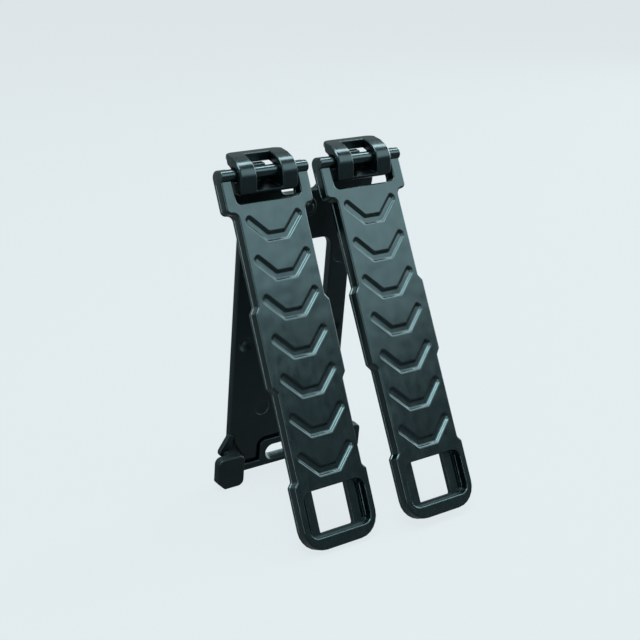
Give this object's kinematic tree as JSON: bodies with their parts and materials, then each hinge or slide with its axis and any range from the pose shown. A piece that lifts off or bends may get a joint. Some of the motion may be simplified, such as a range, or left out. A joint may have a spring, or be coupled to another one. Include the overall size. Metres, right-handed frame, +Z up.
{
  "type": "webbing strap mount",
  "caption": "Hinged mount for ladder webbing: ribbed straps swing on hooks at the head of a back frame and lock over squeeze latches at its lower corners.",
  "frame": {"origin": "on the standing surface, in the middle of the part's footprint", "axes": "+Z up, +X along the hinge line, -Y the side with the ribbed strap faces"},
  "size_m": [0.0712, 0.072, 0.1205],
  "materials": {
    "frame": "satin black moulded nylon",
    "hook": "satin black moulded nylon",
    "strap": "satin black moulded nylon",
    "bar": "satin black moulded nylon",
    "latch": "satin black moulded nylon"
  },
  "bodies": {
    "frame": {"back_frame": "frame", "hinge_hook_left": "hook", "hinge_hook_right": "hook"},
    "strap_left": {"strap_left": "strap", "hinge_bar_left": "bar"},
    "strap_right": {"strap_right": "strap", "hinge_bar_right": "bar"},
    "latch_left": {"latch_left": "latch"},
    "latch_right": {"latch_right": "latch"}
  },
  "joints": [
    {"name": "strap_left_hinge", "type": "hinge", "parent": "frame", "child": "strap_left", "pos_m": [-0.01905, 0.01335, 0.11453], "axis": [-1, 0, 0], "range_deg": [-29.2, 262], "deforming": ["latch_left"]},
    {"name": "strap_right_hinge", "type": "hinge", "parent": "frame", "child": "strap_right", "pos_m": [0.01905, 0.01335, 0.11453], "axis": [-1, 0, 0], "range_deg": [-31.2, 260], "deforming": ["latch_right"]},
    {"name": "latch_left_squeeze", "type": "hinge", "parent": "frame", "child": "latch_left", "pos_m": [-0.0224, 0.03099, 0.0171], "axis": [0, -0.9914, -0.1305], "range_deg": [0, 22], "stiffness_Nm_per_rad": 0.3},
    {"name": "latch_right_squeeze", "type": "hinge", "parent": "frame", "child": "latch_right", "pos_m": [0.0224, 0.03099, 0.0171], "axis": [0, 0.9914, 0.1305], "range_deg": [0, 22], "stiffness_Nm_per_rad": 0.3}
  ]
}
